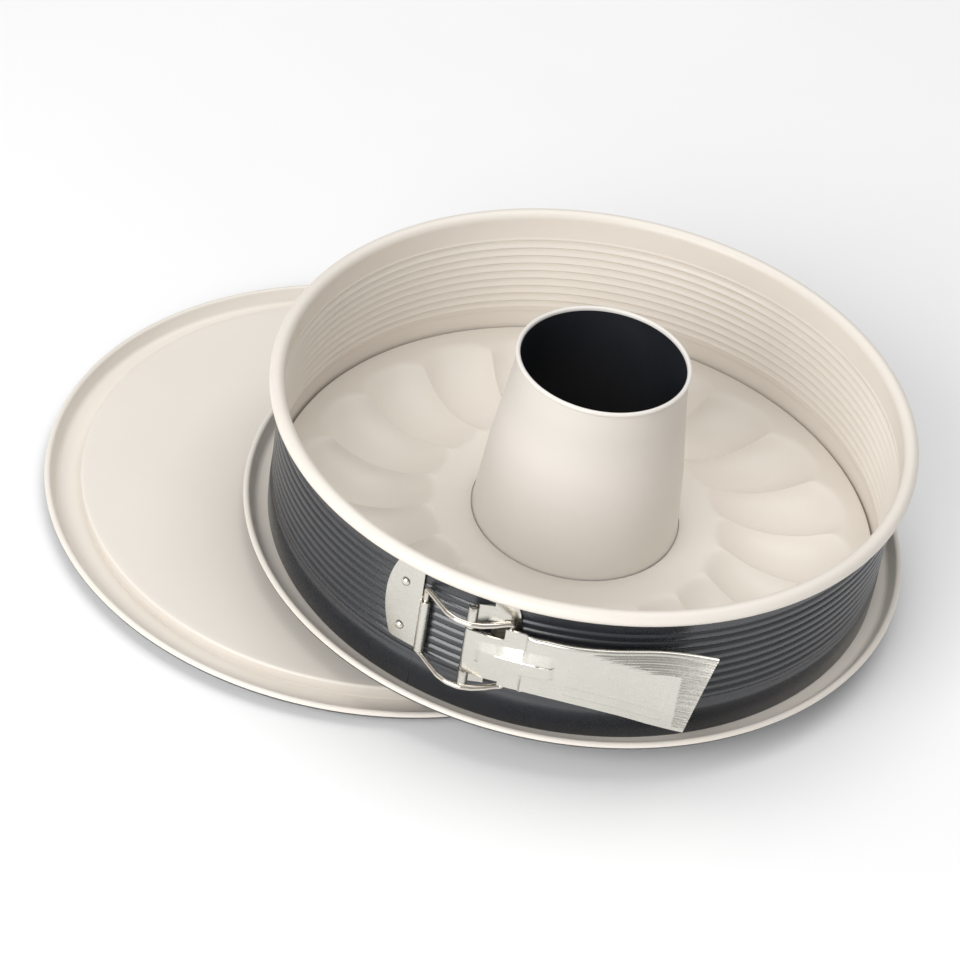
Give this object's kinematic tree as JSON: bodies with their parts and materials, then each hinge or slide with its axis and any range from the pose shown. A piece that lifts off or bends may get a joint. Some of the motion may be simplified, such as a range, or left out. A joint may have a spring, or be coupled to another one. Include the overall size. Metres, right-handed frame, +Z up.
{
  "type": "springform pan",
  "caption": "Round springform baking pan with a ribbed ring, an over-centre latch, a tube base with a funnel, and a spare flat base under it.",
  "frame": {"origin": "centre of the footprint of the whole set, on the plane it stands on", "axes": "+Z up along the pan's axis; +X runs from the flat base that sticks out at the left towards the pan; the latch faces -Y"},
  "size_m": [0.3751, 0.2974, 0.1024],
  "materials": {
    "cream_coating": "satin ceramic non-stick coating",
    "dark_lacquer": "satin anthracite lacquer, cream inside",
    "nickel_steel": "bright nickel plating, lightly brushed"
  },
  "bodies": {
    "flat_base": {"flat_base": "cream_coating"},
    "tube_base": {"base_disc": "cream_coating", "funnel": "cream_coating"},
    "ring_back": {"band_back": "dark_lacquer"},
    "ring_left": {"band_left": "dark_lacquer", "catch_plate": "nickel_steel", "catch_rivet_lower": "nickel_steel", "catch_rivet_upper": "nickel_steel"},
    "ring_right": {"band_right": "dark_lacquer", "hinge_plate": "nickel_steel", "hinge_rivet_lower": "nickel_steel", "hinge_rivet_upper": "nickel_steel", "hinge_pin": "nickel_steel"},
    "bail": {"bail": "nickel_steel"},
    "lever": {"lever": "nickel_steel"}
  },
  "joints": [
    {"name": "pan_lift", "type": "slide", "parent": "flat_base", "child": "tube_base", "axis": [0, 0, 1], "range_m": [0, 0.1]},
    {"name": "ring_lift", "type": "slide", "parent": "tube_base", "child": "ring_back", "axis": [0, 0, 1], "range_m": [0, 0.12]},
    {"name": "ring_left_spring", "type": "hinge", "parent": "ring_back", "child": "ring_left", "pos_m": [0.08809, 0.12501, 0.0476], "axis": [0, 0, -1], "range_deg": [0, 1.75]},
    {"name": "ring_right_spring", "type": "hinge", "parent": "ring_back", "child": "ring_right", "pos_m": [0.11007, 0.11541, 0.0476], "axis": [0, 0, 1], "range_deg": [0, 1.75]},
    {"name": "bail_swing", "type": "hinge", "parent": "ring_left", "child": "bail", "pos_m": [-0.00642, -0.13006, 0.0496], "axis": [0, 0, -1], "range_deg": [0, 28.38]},
    {"name": "lever_swing", "type": "hinge", "parent": "ring_right", "child": "lever", "pos_m": [0.01301, -0.13839, 0.0504], "axis": [0, 0, -1], "range_deg": [0, 120]}
  ],
  "couplings": [
    {"joint": "ring_left_spring", "follows": "lever_swing", "ratio": 0.014585},
    {"joint": "ring_right_spring", "follows": "lever_swing", "ratio": 0.014585},
    {"joint": "bail_swing", "follows": "lever_swing", "ratio": 0.23641}
  ]
}
